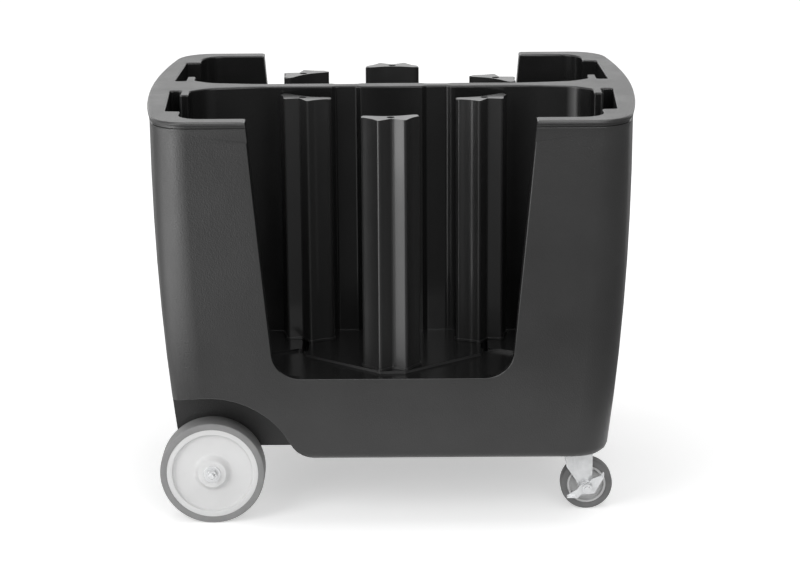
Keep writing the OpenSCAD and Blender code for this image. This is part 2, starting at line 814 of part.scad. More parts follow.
module caster_kingpin(side) {
    low = crown_top - caster_steel - gap;
    head_d = kingpin_d + 2 * rivet_out;
    color("#b0b3b7") at_caster(side) {
        translate([0, 0, low - 1]) cylinder(d = kingpin_d, h = base_z - low + 1 - gap);
        translate([0, 0, low - 2 * rivet_h]) cylinder(d1 = kingpin_d + rivet_out, d2 = head_d, h = rivet_h);
        translate([0, 0, low - rivet_h]) cylinder(d = head_d, h = rivet_h);
    }
}

module caster_balls(side) {
    color("#d0d0d0") at_caster(side) for (k = [0 : ball_count - 1])
        rotate(360 * k / ball_count)
            translate([ball_ring_r, 0, crown_top + gap + ball_d / 2]) sphere(d = ball_d, $fn = 24);
}

// A fork leg's outline, seen from the side, with y as height
function leg_corners() = [
    [-leg_back, crown_top - 1, 1, 1],
    [-leg_back + leg_taper, caster_r + leg_bend, 5, 2],
    [caster_trail + leg_waist[0], caster_r + leg_waist[1], 8, 3],
    [caster_trail - leg_eye_r, caster_r - leg_eye_r, leg_eye_r - 3, 5],
    [leg_front, caster_r - leg_eye_r, leg_eye_r - 3, 5],
    [leg_front, crown_top - 1, 1, 1]
];

// The crown's skirt hides the balls, and the legs come down from its sides
module caster_fork(side) {
    out = leg_in + caster_steel;
    color("#c4c7cb") at_caster(side) difference() {
        union() {
            translate([0, 0, crown_top - caster_steel]) {
                cylinder(d = crown_d, h = caster_steel);
                translate([-leg_back, -out, 0]) cube([leg_back + leg_front, 2 * out, caster_steel]);
                difference() {
                    cylinder(d = crown_d, h = caster_steel + skirt_h);
                    translate([0, 0, -1]) cylinder(d = crown_d - 2 * skirt_t, h = caster_steel + skirt_h + 2);
                }
            }
            for (y = [-out, leg_in])
                along_y(0, y, 0) linear_extrude(caster_steel) mirror([0, 1])
                    polygon(outline(leg_corners()));
            for (y = [-out - rib_out, out - 1])
                translate([caster_trail + leg_rib[0], y, caster_r + leg_bend - 8])
                    cube([leg_rib[1] - leg_rib[0], rib_out + 1, crown_top - caster_r - leg_bend + 5]);
        }
        translate([0, 0, crown_top - caster_steel - 1])
            cylinder(d = kingpin_d + 2 * run, h = caster_steel + 2);
        along_y(caster_trail, -out - 1, caster_r) cylinder(d = caster_axle_d + 2 * run, h = 2 * out + 2);
    }
}

module caster_axle_bolt(side) {
    end = nut_face + caster_nut_h + bolt_spare;
    head = leg_in + caster_steel;
    color("#c9ccd0") at_caster(side) along_y(caster_trail, -end, caster_r) {
        cylinder(d = caster_axle_d, h = end + head + 1);
        translate([0, 0, end + head]) hex(caster_nut_af, caster_head_h);
    }
}

module caster_nut(side) {
    color("#d2d5d9") at_caster(side) along_y(caster_trail, -nut_face, caster_r) mirror([0, 0, 1])
        rotate(30) nut(caster_nut_af, caster_nut_h, caster_axle_d);
}

module caster_core(side) {
    half = caster_w / 2 - 1;
    hub = leg_in - gap;
    bore = caster_axle_d / 2 + run;
    rim = caster_core_r - caster_lip;
    color("#b5b5b7") at_caster(side) along_y(caster_trail, 0, caster_r)
        rotate_extrude($fn = 96) polygon(outline([
            [bore, -hub, 0.5, 1], [caster_hub_r, -hub, 1, 1], [caster_hub_r, -caster_web / 2, 2, 2],
            [rim, -caster_web / 2, 2, 2], [rim, -half, 1, 1], [caster_core_r, -half, 0.5, 1],
            [caster_core_r, half, 0.5, 1], [rim, half, 1, 1], [rim, caster_web / 2, 2, 2],
            [caster_hub_r, caster_web / 2, 2, 2], [caster_hub_r, hub, 1, 1], [bore, hub, 0.5, 1]]));
}

module caster_tyre(side) {
    h = caster_w / 2;
    color("#626264") at_caster(side) along_y(caster_trail, 0, caster_r) rotate_extrude($fn = 96)
        polygon(outline([[caster_core_r, -h, 0.5, 1], [caster_r, -h, caster_edge_r, 4],
                         [caster_r, h, caster_edge_r, 4], [caster_core_r, h, 0.5, 1]]));
}

// The brake lever's plate, seen from the front, with the axle at the origin
function brake_corners() = [
    [-brake_pedal, -20, 1.5, 2], [-18.5, -22.5, 3, 2], [-11.5, -14.5, 3, 2], [14.5, -12.5, 5, 2],
    [brake_tab - 1, 19.5, 4, 2], [brake_tab, 31, 1, 1], [brake_tab - 3, 31.5, 1, 1],
    [brake_tab - 6, 24.5, 3, 2], [11, 18.5, 4, 2], [4, 12, 3, 2], [-6, 10.5, 3, 2], [-13, 5, 3, 2],
    [-20, -4, 3, 2], [1 - brake_pedal, -15.5, 1.5, 2]
];

// The pedal and the release tab are bent outward from the plate
module brake_lever(side) {
    back = brake_face + brake_hub_h;
    front = back + brake_t;
    color("#c4c7cb") at_caster(side) difference() {
        union() {
            along_y(caster_trail, -front, caster_r) cylinder(r = brake_hub_r, h = front - brake_face);
            along_y(caster_trail, -front, caster_r) linear_extrude(brake_t) mirror([0, 1])
                polygon(outline(brake_corners()));
            translate([caster_trail - brake_pedal + 0.5, -front - pedal_out, caster_r - pedal_drop])
                cube([pedal_len, pedal_out + brake_t, brake_t]);
            translate([caster_trail + tab_x, -front - tab_out, caster_r + tab_low])
                cube([brake_t, tab_out + brake_t, tab_h]);
        }
        along_y(caster_trail, -front - 1, caster_r)
            cylinder(d = caster_axle_d + 2 * run, h = front + 2);
    }
}

body_moulding();
tower(front_left);  // tower_front_left
tower(front_middle);  // tower_front_middle
tower(front_right);  // tower_front_right
tower(back_left);  // tower_back_left
tower(back_middle);  // tower_back_middle
tower(back_right);  // tower_back_right
tie_bolt(front_left);  // tie_bolt_front_left
tie_bolt(front_middle);  // tie_bolt_front_middle
tie_bolt(front_right);  // tie_bolt_front_right
tie_bolt(back_left);  // tie_bolt_back_left
tie_bolt(back_middle);  // tie_bolt_back_middle
tie_bolt(back_right);  // tie_bolt_back_right
clamp_washer(front_left);  // clamp_washer_front_left
clamp_washer(front_middle);  // clamp_washer_front_middle
clamp_washer(front_right);  // clamp_washer_front_right
clamp_washer(back_left);  // clamp_washer_back_left
clamp_washer(back_middle);  // clamp_washer_back_middle
clamp_washer(back_right);  // clamp_washer_back_right
wing_nut(front_left);  // wing_nut_front_left
wing_nut(front_middle);  // wing_nut_front_middle
wing_nut(front_right);  // wing_nut_front_right
wing_nut(back_left);  // wing_nut_back_left
wing_nut(back_middle);  // wing_nut_back_middle
wing_nut(back_right);  // wing_nut_back_right
axle();
axle_spacers();
axle_washers();
axle_nuts();
axle_bracket(-1);  // axle_bracket_front
axle_bracket(1);  // axle_bracket_back
axle_bracket_bolts();
wheel_tyre(-1);  // wheel_tyre_front
wheel_core(-1);  // wheel_core_front
wheel_bush(-1);  // wheel_bush_front
wheel_tyre(1);  // wheel_tyre_back
wheel_core(1);  // wheel_core_back
wheel_bush(1);  // wheel_bush_back
caster_plate(-1);  // caster_plate_front
caster_bolts(-1);  // caster_bolts_front
caster_kingpin(-1);  // caster_kingpin_front
caster_balls(-1);  // caster_balls_front
caster_fork(-1);  // caster_fork_front
caster_axle_bolt(-1);  // caster_axle_bolt_front
caster_nut(-1);  // caster_nut_front
caster_core(-1);  // caster_core_front
caster_tyre(-1);  // caster_tyre_front
brake_lever(-1);  // brake_lever_front
caster_plate(1);  // caster_plate_back
caster_bolts(1);  // caster_bolts_back
caster_kingpin(1);  // caster_kingpin_back
caster_balls(1);  // caster_balls_back
caster_fork(1);  // caster_fork_back
caster_axle_bolt(1);  // caster_axle_bolt_back
caster_nut(1);  // caster_nut_back
caster_core(1);  // caster_core_back
caster_tyre(1);  // caster_tyre_back
brake_lever(1);  // brake_lever_back
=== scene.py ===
"""Looks of the plate dispenser cart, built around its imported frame. Metres, +Z up, front at -Y."""
import json
import math

import bmesh
import bpy
from mathutils import Euler, Matrix, Vector

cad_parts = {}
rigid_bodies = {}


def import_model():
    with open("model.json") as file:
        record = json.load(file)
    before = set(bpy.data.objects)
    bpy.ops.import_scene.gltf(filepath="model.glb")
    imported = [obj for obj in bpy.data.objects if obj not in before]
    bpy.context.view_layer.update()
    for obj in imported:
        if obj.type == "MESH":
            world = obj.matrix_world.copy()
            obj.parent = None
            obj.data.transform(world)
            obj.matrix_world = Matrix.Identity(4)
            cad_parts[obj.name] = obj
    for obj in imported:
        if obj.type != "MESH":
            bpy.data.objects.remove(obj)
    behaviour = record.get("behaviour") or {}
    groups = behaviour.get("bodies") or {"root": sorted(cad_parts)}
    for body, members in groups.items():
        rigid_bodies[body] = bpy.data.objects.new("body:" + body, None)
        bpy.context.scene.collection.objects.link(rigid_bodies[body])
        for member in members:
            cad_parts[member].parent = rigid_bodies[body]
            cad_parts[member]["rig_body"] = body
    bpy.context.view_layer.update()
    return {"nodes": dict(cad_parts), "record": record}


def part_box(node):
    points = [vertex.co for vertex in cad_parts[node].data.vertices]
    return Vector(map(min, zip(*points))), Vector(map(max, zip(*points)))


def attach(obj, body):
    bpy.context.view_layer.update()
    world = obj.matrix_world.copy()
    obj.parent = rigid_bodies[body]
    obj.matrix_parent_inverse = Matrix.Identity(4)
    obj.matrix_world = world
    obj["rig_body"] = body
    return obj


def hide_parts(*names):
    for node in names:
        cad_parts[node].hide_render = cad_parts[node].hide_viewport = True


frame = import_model()
nodes = frame["nodes"]

ENDS = ("front", "back")
TOWER_TURNS = {"front_left": -27, "front_middle": 5, "front_right": 27,
               "back_left": 220, "back_middle": 180, "back_right": 142}


# Materials
WELL_SHADE_AND_FINISH_MARK = "well"
WHITE = (1, 1, 1, 1)
NOISE_LOW = 0.3
NOISE_HIGH = 0.7


def linear(value):
    """A linear grey from the level that a picture shows, from 0 to 1."""
    return ((value + 0.055) / 1.055) ** 2.4 if value > 0.04045 else value / 12.92


def grey(value, warm=0.0):
    """A linear colour near grey. A positive warm is warmer, a negative one cooler."""
    level = linear(value)
    return (level * (1 + warm), level, level * (1 - warm), 1)


class Nodes:
    """A node tree with short ways to add to it."""

    def __init__(self, tree):
        self.tree = tree

    def node(self, kind, **settings):
        made = self.tree.nodes.new("ShaderNode" + kind)
        for key, value in settings.items():
            setattr(made, key, value)
        return made

    def link(self, start, end):
        self.tree.links.new(start, end)

    def ranged(self, value, low, high, start=NOISE_LOW, end=NOISE_HIGH, **settings):
        """The value, taken from start..end to low..high."""
        made = self.node("MapRange", **settings)
        made.inputs["From Min"].default_value = start
        made.inputs["From Max"].default_value = end
        made.inputs["To Min"].default_value = low
        made.inputs["To Max"].default_value = high
        self.link(value, made.inputs["Value"])
        return made.outputs["Result"]

    def joined(self, operation, one, other):
        """Two values joined by an operation of the Math node."""
        made = self.node("Math", operation=operation)
        self.link(one, made.inputs[0])
        self.link(other, made.inputs[1])
        return made.outputs[0]

    def along(self, vector, direction):
        """How far a vector points in a fixed direction."""
        made = self.node("VectorMath", operation="DOT_PRODUCT")
        self.link(vector, made.inputs[0])
        made.inputs[1].default_value = direction
        return made.outputs["Value"]

    def glow(self, kind, strength):
        """A white emission or background. Its strength is a number or an output."""
        made = self.node(kind)
        made.inputs["Color"].default_value = WHITE
        if isinstance(strength, float):
            made.inputs["Strength"].default_value = strength
        else:
            self.link(strength, made.inputs["Strength"])
        return made.outputs[0]

    def either(self, choice, no, yes):
        """The shader no where the choice is 0, and yes where it is 1."""
        made = self.node("MixShader")
        self.link(choice, made.inputs["Fac"])
        self.link(no, made.inputs[1])
        self.link(yes, made.inputs[2])
        return made.outputs[0]

    def seen_straight(self, path):
        """1 for what the camera sees directly or through something clear."""
        through = path.outputs["Is Transmission Ray"]
        return self.joined("MAXIMUM", path.outputs["Is Camera Ray"], through)


class Finish(Nodes):
    """A material under construction: its node tree, shader and pattern coordinates."""

    def __init__(self, name, colour, roughness, metallic=0.0, specular=0.5):
        self.material = bpy.data.materials.new(name)
        self.material.use_nodes = True
        super().__init__(self.material.node_tree)
        self.shader = self.tree.nodes["Principled BSDF"]
        self.shader.inputs["Base Color"].default_value = colour
        self.shader.inputs["Roughness"].default_value = roughness
        self.shader.inputs["Metallic"].default_value = metallic
        self.shader.inputs["Specular IOR Level"].default_value = specular
        self.coords = self.node("TexCoord").outputs["Object"]
        self.normal = None

    def stretched(self, scale):
        """The coordinates scaled differently along each axis."""
        mapping = self.node("Mapping")
        mapping.inputs["Scale"].default_value = scale
        self.link(self.coords, mapping.inputs["Vector"])
        return mapping.outputs["Vector"]

    def noise(self, scale, detail=2.0, vector=None):
        made = self.node("TexNoise")
        made.inputs["Scale"].default_value = scale
        made.inputs["Detail"].default_value = detail
        self.link(vector or self.coords, made.inputs["Vector"])
        return made.outputs["Fac"]

    def less(self, value):
        """One less the value."""
        made = self.node("Math", operation="SUBTRACT")
        made.inputs[0].default_value = 1
        self.link(value, made.inputs[1])
        return made.outputs[0]

    def mixed(self, value, dark, light):
        made = self.node("MixRGB")
        made.inputs["Color1"].default_value = dark
        made.inputs["Color2"].default_value = light
        self.link(self.ranged(value, 0, 1), made.inputs["Fac"])
        return made.outputs["Color"]

    def by_mark(self, mark, outside, inside):
        """The outside colour or value, and the inside one where a face is marked."""
        made = self.node("MixRGB")
        self.link(mark, made.inputs["Fac"])
        self.link(outside, made.inputs["Color1"])
        if isinstance(inside, tuple):
            made.inputs["Color2"].default_value = inside
        else:
            self.link(inside, made.inputs["Color2"])
        return made.outputs["Color"]

    def vary_colour(self, value, dark, light):
        self.link(self.mixed(value, dark, light), self.shader.inputs["Base Color"])

    def vary_roughness(self, value, low, high):
        self.link(self.ranged(value, low, high), self.shader.inputs["Roughness"])

    def bump(self, value, strength, distance):
        made = self.node("Bump")
        made.inputs["Strength"].default_value = strength
        made.inputs["Distance"].default_value = distance
        self.link(value, made.inputs["Height"])
        if self.normal:
            self.link(self.normal, made.inputs["Normal"])
        self.normal = made.outputs["Normal"]
        self.link(self.normal, self.shader.inputs["Normal"])


def body_plastic():
    """Black rotomoulded polyethylene: orange peel outside, smooth in the wells, whose darker colour
    is painted shade.
    """
    f = Finish("body_plastic", grey(0.15), 0.36, specular=0.5)
    well = f.node("Attribute", attribute_name=WELL_SHADE_AND_FINISH_MARK).outputs["Fac"]
    skin = f.less(well)
    outside = f.mixed(f.noise(9, 3), grey(0.195), grey(0.21))
    # Painted shade: the wells' faces get a much darker colour than the outside, to stand in for the
    # shade inside them.
    f.link(f.by_mark(well, outside, grey(0.085)), f.shader.inputs["Base Color"])
    outside = f.ranged(f.noise(14, 4), 0.28, 0.36)
    inside = f.ranged(f.noise(11, 3), 0.19, 0.27)
    f.link(f.by_mark(well, outside, inside), f.shader.inputs["Roughness"])
    f.bump(f.joined("MULTIPLY", f.noise(380, 2), skin), 0.6, 0.001)
    f.bump(f.joined("MULTIPLY", f.noise(60, 2), skin), 0.12, 0.0012)
    f.bump(f.noise(9, 2), 0.15, 0.004)
    return f.material


def tower_plastic():
    """The towers' smoother and glossier black."""
    f = Finish("tower_plastic", grey(0.15), 0.35, specular=0.3)
    f.vary_roughness(f.noise(22, 3), 0.3, 0.38)
    f.shader.inputs["Coat Weight"].default_value = 0.5
    f.shader.inputs["Coat Roughness"].default_value = 0.12
    f.bump(f.noise(30, 2, f.stretched((1, 1, 0.12))), 0.05, 0.001)
    return f.material


def wheel_rubber():
    f = Finish("wheel_rubber", grey(0.53), 0.62, specular=0.4)
    f.vary_colour(f.noise(30, 4), grey(0.52), grey(0.55))
    f.bump(f.noise(700, 2), 0.2, 0.0003)
    return f.material


def wheel_core_plastic():
    f = Finish("wheel_core_plastic", grey(0.83), 0.45, specular=0.4)
    f.vary_colour(f.noise(12, 3), grey(0.82), grey(0.85))
    f.bump(f.noise(260, 2), 0.1, 0.0003)
    return f.material


def bush_nylon():
    f = Finish("bush_nylon", grey(0.85, 0.05), 0.4, specular=0.4)
    f.vary_colour(f.noise(40, 3), grey(0.83, 0.05), grey(0.87, 0.05))
    return f.material


def caster_rubber():
    f = Finish("caster_rubber", grey(0.44), 0.6, specular=0.4)
    f.vary_colour(f.noise(40, 4), grey(0.43), grey(0.46))
    f.bump(f.noise(800, 2), 0.2, 0.0003)
    return f.material


def caster_core_plastic():
    f = Finish("caster_core_plastic", grey(0.77), 0.42, specular=0.4)
    f.vary_colour(f.noise(25, 3), grey(0.76), grey(0.79))
    return f.material


def zinc():
    """Bright zinc plate: a pale metal with a faint spangle."""
    f = Finish("zinc", grey(0.9), 0.25, metallic=0.5)
    f.vary_colour(f.noise(90, 4), grey(0.89, -0.01), grey(0.94, -0.01))
    f.vary_roughness(f.noise(60, 3), 0.2, 0.27)
    f.bump(f.noise(350, 2), 0.03, 0.0003)
    return f.material


def black_oxide():
    """Blackened steel with an oily sheen."""
    f = Finish("black_oxide", grey(0.2), 0.38, metallic=0.4)
    f.vary_roughness(f.noise(80, 3), 0.32, 0.48)
    return f.material


MATERIALS = {
    "body_plastic": body_plastic(),
    "tower_plastic": tower_plastic(),
    "wheel_tyre": wheel_rubber(),
    "wheel_core": wheel_core_plastic(),
    "wheel_bush": bush_nylon(),
    "caster_tyre": caster_rubber(),
    "caster_core": caster_core_plastic(),
    "zinc_steel": zinc(),
    "dark_steel": black_oxide(),
}
SLOT_OF = {s["node"]: s["material_slot"] for s in frame["record"]["subparts"]}


def dress(obj, material):
    obj.data.materials.clear()
    obj.data.materials.append(material)


for name, node in nodes.items():
    dress(node, MATERIALS[SLOT_OF[name]])


# Mesh helpers
SMOOTH_ANGLE = math.radians(32)
FLAT_ANGLE = math.radians(0.4)
MERGE_GAP = 2e-5
PROFILE_STEPS = 4
EDGE_STEPS = 2
WHEEL_STEPS = 192
CASTER_STEPS = 128
AXLE_STEPS = 48

# How far edges are rounded
NO_EDGE = 0
FINE_EDGE = 0.0004
PRESSED_EDGE = 0.0005
SHEET_EDGE = 0.0008
TOWER_EDGE = 0.0012
BODY_EDGE = 0.0015


def body_of(node_name):
    return nodes[node_name]["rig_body"]


def finished(name, bm, node_names):
    """The piece made of a bmesh. It rides with the nodes that it stands for."""
    mesh = bpy.data.meshes.new(name)
    bm.to_mesh(mesh)
    bm.free()
    mesh.shade_smooth()
    mesh.set_sharp_from_angle(angle=SMOOTH_ANGLE)
    obj = bpy.data.objects.new(name, mesh)
    bpy.context.scene.collection.objects.link(obj)
    dress(obj, MATERIALS[SLOT_OF[node_names[0]]])
    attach(obj, body_of(node_names[0]))
    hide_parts(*node_names)
    return obj


def merged_copy(node_name):
    """A node's mesh with its loose triangles joined and its flat faces whole."""
    bm = bmesh.new()
    bm.from_mesh(nodes[node_name].data)
    bmesh.ops.remove_doubles(bm, verts=bm.verts, dist=MERGE_GAP)
    bmesh.ops.dissolve_limit(bm, angle_limit=FLAT_ANGLE, verts=bm.verts, edges=bm.edges)
    return bm


def softened(name, node_name, width):
    """A copy of a node with its sharp edges rounded, which stands for the node."""
    soften(finished(name, merged_copy(node_name), [node_name]), width)


def soften(obj, width):
    if width:
        bevel = obj.modifiers.new("edges", "BEVEL")
        bevel.width = width
        bevel.segments = EDGE_STEPS
        bevel.limit_method = "ANGLE"
        bevel.angle_limit = SMOOTH_ANGLE
        bevel.harden_normals = True
    normals = obj.modifiers.new("normals", "WEIGHTED_NORMAL")
    normals.keep_sharp = True


def turned(corners, centre, along, steps):
    """A ring or disc spun about a line. A corner is (radius, place along the line, rounding)."""
    out = Vector((1, 0, 0))
    bm = bmesh.new()
    verts = []
    for radius, place, rounding in corners:
        verts.append(bm.verts.new(centre + out * radius + along * place))
    bm.faces.new(verts)
    for vert, (radius, place, rounding) in zip(verts, corners):
        if rounding:
            bmesh.ops.bevel(bm, geom=[vert], offset=rounding, offset_type="OFFSET",
                            segments=PROFILE_STEPS, profile=0.5, affect="VERTICES", material=-1)
    bmesh.ops.delete(bm, geom=list(bm.faces), context="FACES_ONLY")
    bmesh.ops.spin(bm, geom=list(bm.verts) + list(bm.edges), cent=centre, axis=along,
                   dvec=(0, 0, 0), angle=math.tau, steps=steps,
                   use_merge=True, use_duplicate=False)
    bmesh.ops.recalc_face_normals(bm, faces=bm.faces)
    return bm


# Body and towers
WELL_FLOOR = 0.300
RIM_TOP = 0.812
WELL_MIDDLE = 0.17
SIDE_FROM = 0.3
LIP_LOW = 0.775
RIM_NEAR = 0.004
OPENING_EDGE = 0.003
WELL_RIM_EDGE = 0.0045
ROUNDED_STEPS = 3
SHARP = math.radians(50)

# How much of a face's normal has to point along an axis
FACING = 0.7
LYING_FLAT = 0.9
EDGE_ON = 0.3


def rounded_where(bm, wanted, width):
    """Rounds the sharp edges that are wanted, judged by their middle and their two normals."""
    chosen = []
    for edge in bm.edges:
        if len(edge.link_faces) != 2 or edge.calc_face_angle() < SHARP:
            continue
        middle = (edge.verts[0].co + edge.verts[1].co) / 2
        one, other = edge.link_faces
        pairs = ((one.normal, other.normal), (other.normal, one.normal))
        if any(wanted(middle, *pair) for pair in pairs):
            chosen.append(edge)
    bmesh.ops.bevel(bm, geom=chosen, offset=width, offset_type="OFFSET",
                    segments=ROUNDED_STEPS, profile=0.5, affect="EDGES",
                    clamp_overlap=False, material=-1)


def on_opening(middle, skin, cut):
    """The edge of a side opening or an arch, where the skin ends."""
    at_side = abs(middle.y) > SIDE_FROM and middle.z < LIP_LOW
    return at_side and abs(skin.y) > FACING and abs(cut.y) < EDGE_ON


def on_well_rim(middle, top, wall):
    """The edge between the rim's top and a well's wall."""
    return middle.z > RIM_TOP - RIM_NEAR and top.z > LYING_FLAT and abs(wall.z) < EDGE_ON


def body_shell():
    """The moulding with softened edges. Its wells are marked for their smoother finish and for their
    painted shade.
    """
    bm = merged_copy("body_moulding")
    rounded_where(bm, on_well_rim, WELL_RIM_EDGE)
    rounded_where(bm, on_opening, OPENING_EDGE)
    mark = bm.faces.layers.float.new(WELL_SHADE_AND_FINISH_MARK)
    for face in bm.faces:
        centre = face.calc_center_median()
        from_middle = Vector((centre.x, centre.y - math.copysign(WELL_MIDDLE, centre.y), 0))
        inward = face.normal.z > FACING or from_middle.dot(face.normal) < 0
        face[mark] = 1.0 if inward and WELL_FLOOR < centre.z < RIM_TOP else 0.0
    soften(finished("body_shell", bm, ["body_moulding"]), BODY_EDGE)


# The bends of a tower's front notch, in its own frame, and the straight sides that replace them
NOTCH_BEND_X = 0.00603
NOTCH_BEND_Y = -0.027
NOTCH_BEND_R = 0.012
FOOT_BEND_R = 0.0095
NOTCH_ROOT_X = 0.0015
NOTCH_DEEPER = 0.0015
NOTCH_SLOPE = 0.72
NOTCH_NEAR = 0.00025


def column(tower, turn):
    """A tower whose front notch has two straight sides that meet at its root."""
    bm = merged_copy("tower_" + tower)
    low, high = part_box("tie_bolt_" + tower)
    stand = Matrix.Translation((low + high) / 2) @ Matrix.Rotation(math.radians(turn), 4, "Z")
    unturned = stand.inverted()
    for vert in bm.verts:
        spot = unturned @ vert.co
        across = abs(spot.x)
        reach = math.hypot(across - NOTCH_BEND_X, spot.y - NOTCH_BEND_Y)
        if across <= NOTCH_BEND_X - NOTCH_NEAR or spot.y <= NOTCH_BEND_Y:
            continue
        for radius in (NOTCH_BEND_R, FOOT_BEND_R):
            if abs(reach - radius) < NOTCH_NEAR:
                if across < NOTCH_BEND_X + NOTCH_NEAR:
                    across = NOTCH_ROOT_X
                root = NOTCH_BEND_Y + radius + NOTCH_DEEPER
                spot.x = math.copysign(across, spot.x)
                spot.y = root - NOTCH_SLOPE * (across - NOTCH_ROOT_X)
                vert.co = stand @ spot
                break
    soften(finished("column_" + tower, bm, ["tower_" + tower]), TOWER_EDGE)


body_shell()
for tower, turn in TOWER_TURNS.items():
    column(tower, turn)
    softened("long_bolt_" + tower, "tie_bolt_" + tower, NO_EDGE)
    softened("square_washer_" + tower, "clamp_washer_" + tower, FINE_EDGE)
    softened("winged_nut_" + tower, "wing_nut_" + tower, PRESSED_EDGE)


# Big wheels
TYRE_SHOULDER = 0.0022
TREAD_CROWN = 0.0004
CORE_R = 0.08875
CORE_HALF = 0.024
RIM_LIP = 0.011
WEB_BEHIND_LIP = 0.0085
WEB_THICK = 0.006
HUB_R = 0.027
HUB_ROOT_R = 0.035
HUB_HALF = 0.028
BUSH_R = 0.010
RIBS = 8
RIB_THICK = 0.004
RIB_SHORT = 0.004
OVERLAP = 0.001
THREAD_PITCH = 0.00175
THREAD_DEEP = 0.0007
THREAD_LONG = 0.016
THREAD_LEAD = 0.001
AXLE_CHAMFER = 0.0015


def middle_and_half(node_name):
    """The middle and the half size of a node's box."""
    low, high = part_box(node_name)
    return (low + high) / 2, (high - low) / 2


def outward(end):
    return Vector((0, -1 if end == "front" else 1, 0))


def wheel_tyre(end):
    """A tyre with round shoulders and a slightly crowned tread."""
    centre, half = middle_and_half("wheel_tyre_" + end)
    r, h = half.z, half.y
    corners = [
        (CORE_R, -h, FINE_EDGE),
        (r - TREAD_CROWN, -h, TYRE_SHOULDER),
        (r, 0, 0),
        (r - TREAD_CROWN, h, TYRE_SHOULDER),
        (CORE_R, h, FINE_EDGE),
    ]
    bm = turned(corners, centre, outward(end), WHEEL_STEPS)
    finished("tyre_" + end, bm, ["wheel_tyre_" + end])


def wheel_core(end):
    """A moulded core: a closed web outside, with ribs from hub to rim behind it."""
    centre, half = middle_and_half("wheel_tyre_" + end)
    out = outward(end)
    lip_r = CORE_R - RIM_LIP
    web = CORE_HALF - WEB_BEHIND_LIP
    back = web - WEB_THICK
    corners = [
        (BUSH_R, -HUB_HALF, 0.0003),
        (HUB_R, -HUB_HALF, 0.0015),
        (HUB_R, back, 0.003),
        (lip_r, back, 0.005),
        (lip_r + 0.002, -CORE_HALF, 0.001),
        (CORE_R, -CORE_HALF, FINE_EDGE),
        (CORE_R, CORE_HALF, FINE_EDGE),
        (lip_r + 0.0006, CORE_HALF, 0.0012),
        (lip_r, web, 0.0028),
        (HUB_ROOT_R, web, 0.003),
        (HUB_R + 0.002, HUB_HALF - 0.003, 0.002),
        (HUB_R, HUB_HALF, 0.0012),
        (BUSH_R, HUB_HALF, 0.0003),
    ]
    bm = turned(corners, centre, out, WHEEL_STEPS)
    rib_rim = lip_r + OVERLAP
    rib_hub = HUB_R - 2 * OVERLAP
    rib_front = back + OVERLAP
    rib_size = (rib_rim - rib_hub, CORE_HALF - RIB_SHORT + rib_front, RIB_THICK)
    rib_place = Vector(((rib_rim + rib_hub) / 2, 0, 0)) + out * (rib_front - rib_size[1] / 2)
    for k in range(RIBS):
        rib = bmesh.ops.create_cube(bm, size=1)["verts"]
        turn = Matrix.Rotation(math.tau * k / RIBS, 3, "Y")
        bmesh.ops.scale(bm, verts=rib, vec=rib_size)
        bmesh.ops.translate(bm, verts=rib, vec=rib_place)
        bmesh.ops.rotate(bm, verts=rib, cent=(0, 0, 0), matrix=turn)
        bmesh.ops.translate(bm, verts=rib, vec=centre)
    finished("core_" + end, bm, ["wheel_core_" + end])


def threaded(start, end, radius):
    """The corners of a thread's profile along a rod, from start to end."""
    count = int(abs(end - start) / THREAD_PITCH)
    step = (end - start) / count
    points = []
    for k in range(count):
        points.append((radius, start + step * (k + 0.25), 0))
        points.append((radius - THREAD_DEEP, start + step * (k + 0.75), 0))
    return points


def long_axle():
    """The axle, with a thread at both ends."""
    centre, half = middle_and_half("axle")
    r, h = half.z, half.y
    corners = [(0, -h, 0), (r - AXLE_CHAMFER, -h, 0)]
    corners += threaded(-h + THREAD_LEAD, -h + THREAD_LONG, r)
    corners += [(r, -h + THREAD_LONG, 0), (r, h - THREAD_LONG, 0)]
    corners += threaded(h - THREAD_LONG, h - THREAD_LEAD, r)
    corners += [(r - AXLE_CHAMFER, h, 0), (0, h, 0)]
    bm = turned(corners, centre, Vector((0, 1, 0)), AXLE_STEPS)
    finished("threaded_axle", bm, ["axle"])


long_axle()
for end in ENDS:
    wheel_tyre(end)
    wheel_core(end)
    softened("bush_" + end, "wheel_bush_" + end, NO_EDGE)
    softened("bracket_" + end, "axle_bracket_" + end, SHEET_EDGE)
softened("bracket_bolts", "axle_bracket_bolts", FINE_EDGE)
softened("hub_washers", "axle_washers", FINE_EDGE)
softened("hub_nuts", "axle_nuts", FINE_EDGE)
softened("spacers", "axle_spacers", FINE_EDGE)


# Casters
CASTER_CORE_R = 0.038
CASTER_SHOULDER = 0.005


def caster_tyre(end):
    """A caster's tyre with round shoulders."""
    centre, half = middle_and_half("caster_tyre_" + end)
    r, h = half.z, half.y
    corners = [
        (CASTER_CORE_R, -h, FINE_EDGE),
        (r, -h, CASTER_SHOULDER),
        (r, h, CASTER_SHOULDER),
        (CASTER_CORE_R, h, FINE_EDGE),
    ]
    bm = turned(corners, centre, Vector((0, 1, 0)), CASTER_STEPS)
    finished("caster_tread_" + end, bm, ["caster_tyre_" + end])


for end in ENDS:
    caster_tyre(end)
    softened("caster_centre_" + end, "caster_core_" + end, NO_EDGE)
    softened("fork_" + end, "caster_fork_" + end, SHEET_EDGE)
    softened("top_plate_" + end, "caster_plate_" + end, PRESSED_EDGE)
    softened("plate_bolts_" + end, "caster_bolts_" + end, FINE_EDGE)
    softened("swivel_pin_" + end, "caster_kingpin_" + end, FINE_EDGE)
    softened("bearing_balls_" + end, "caster_balls_" + end, NO_EDGE)
    softened("wheel_bolt_" + end, "caster_axle_bolt_" + end, FINE_EDGE)
    softened("wheel_nut_" + end, "caster_nut_" + end, FINE_EDGE)
    softened("brake_" + end, "brake_lever_" + end, PRESSED_EDGE)


# Floor, light and camera
FLOOR_HALF = 30
FLOOR_COLOUR = (0.8, 0.8, 0.8, 1)
ROOM_LIGHT = 0.5
LAMP_TARGET = (0, 0, 0.45)
